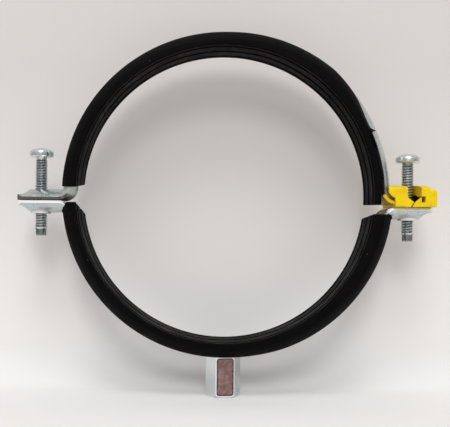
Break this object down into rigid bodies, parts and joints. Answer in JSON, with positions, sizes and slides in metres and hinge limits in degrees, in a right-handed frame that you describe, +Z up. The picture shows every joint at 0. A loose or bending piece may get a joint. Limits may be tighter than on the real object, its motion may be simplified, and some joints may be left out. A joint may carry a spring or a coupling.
{
  "type": "rubber lined pipe clamp",
  "caption": "Two-part steel pipe clamp with ribbed rubber linings, two clamping screws, a push-fit locking clip and a hexagonal connection nut.",
  "frame": {"origin": "on the pipe's axis, half way along the clamp's width", "axes": "+X towards the ears with the locking clip, +Y along the pipe, +Z up, away from the connection nut"},
  "size_m": [0.2036, 0.026, 0.1796],
  "materials": {
    "zinc_plated_steel": "bright bluish zinc plating",
    "zinc_plated_screw": "bright bluish zinc plating",
    "black_rubber": "dull extruded EPDM",
    "yellow_plastic": "moulded, half gloss"
  },
  "bodies": {
    "lower_half": {"lower_band": "zinc_plated_steel", "lower_lining": "black_rubber", "connection_nut": "zinc_plated_steel"},
    "upper_half": {"upper_band": "zinc_plated_steel", "upper_lining": "black_rubber", "locking_clip": "yellow_plastic"},
    "left_screw": {"left_screw": "zinc_plated_screw"},
    "right_screw": {"right_screw": "zinc_plated_screw"}
  },
  "joints": [
    {"name": "upper_half_lift", "type": "slide", "parent": "lower_half", "child": "upper_half", "axis": [0, 0, 1], "range_m": [0, 0.03]},
    {"name": "left_screw_travel", "type": "slide", "parent": "upper_half", "child": "left_screw", "axis": [0, 0, -1], "range_m": [0, 0.0155]},
    {"name": "right_screw_travel", "type": "slide", "parent": "upper_half", "child": "right_screw", "axis": [0, 0, -1], "range_m": [0, 0.011]}
  ]
}
